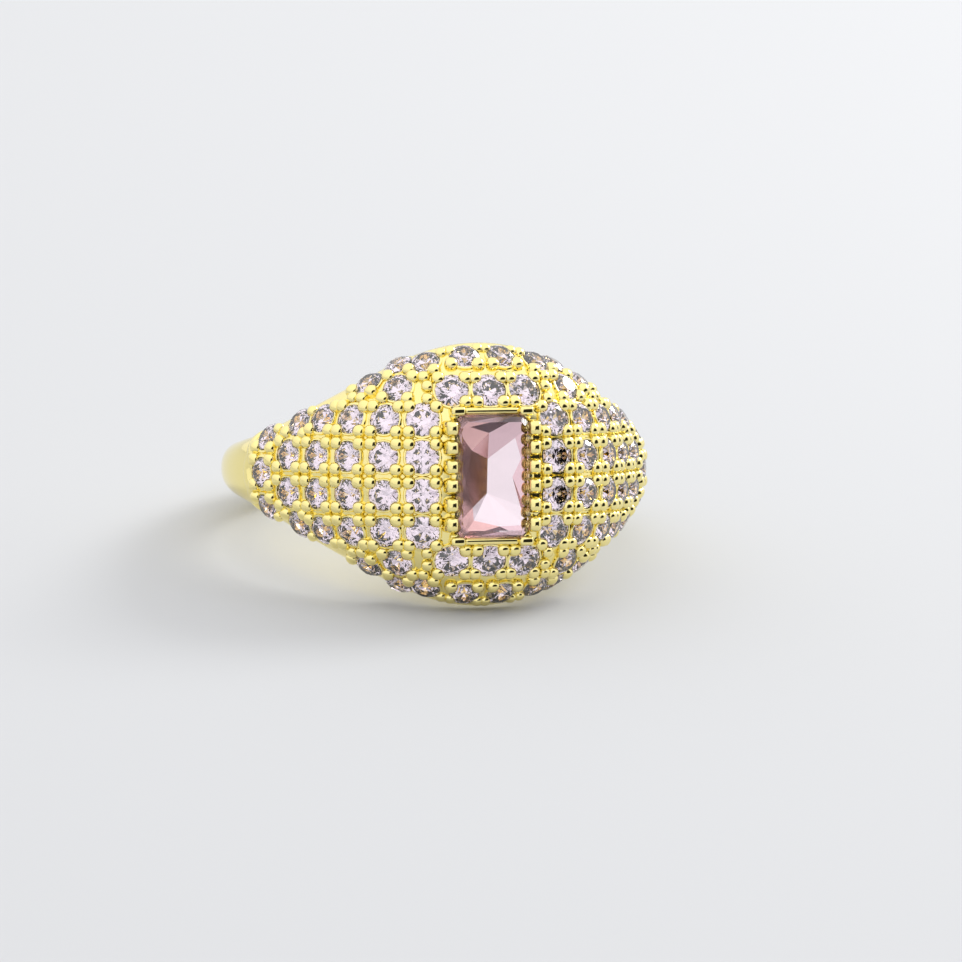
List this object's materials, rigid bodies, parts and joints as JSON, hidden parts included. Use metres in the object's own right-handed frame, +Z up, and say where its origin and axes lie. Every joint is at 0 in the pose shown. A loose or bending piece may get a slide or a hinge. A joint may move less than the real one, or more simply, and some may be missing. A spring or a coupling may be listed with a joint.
{
  "type": "cocktail ring",
  "caption": "Cocktail ring with a domed pave head, a rectangular cut-cornered centre stone and a plain tapered band, lying on its side.",
  "frame": {"origin": "centre of the bottom of the box, on the surface that the ring lies on", "axes": "+Z up from that surface, -Y towards the head (which is tipped up), +X to the right of the head; the finger hole's axis lies in the YZ plane, leaning from +Z towards +Y"},
  "size_m": [0.021, 0.0224, 0.0129],
  "materials": {
    "gold_plate": "polished pale gold plate",
    "centre_gem": "faceted, rose pink",
    "round_gems": "faceted, pale lavender pink"
  },
  "bodies": {
    "root": {"centre_stone": "centre_gem", "corner_lower_left_stones": "round_gems", "corner_lower_right_stones": "round_gems", "corner_upper_left_stones": "round_gems", "corner_upper_right_stones": "round_gems", "fifth_column_left_stones": "round_gems", "fifth_column_right_stones": "round_gems", "fourth_column_left_stones": "round_gems", "fourth_column_right_stones": "round_gems", "halo_column_left_stones": "round_gems", "halo_column_right_stones": "round_gems", "halo_row_lower_stones": "round_gems", "halo_row_upper_stones": "round_gems", "rim_row_lower_stones": "round_gems", "rim_row_upper_stones": "round_gems", "ring_casting": "gold_plate", "second_column_left_stones": "round_gems", "second_column_right_stones": "round_gems", "sixth_column_left_stones": "round_gems", "sixth_column_right_stones": "round_gems", "third_column_left_stones": "round_gems", "third_column_right_stones": "round_gems"}
  },
  "joints": []
}
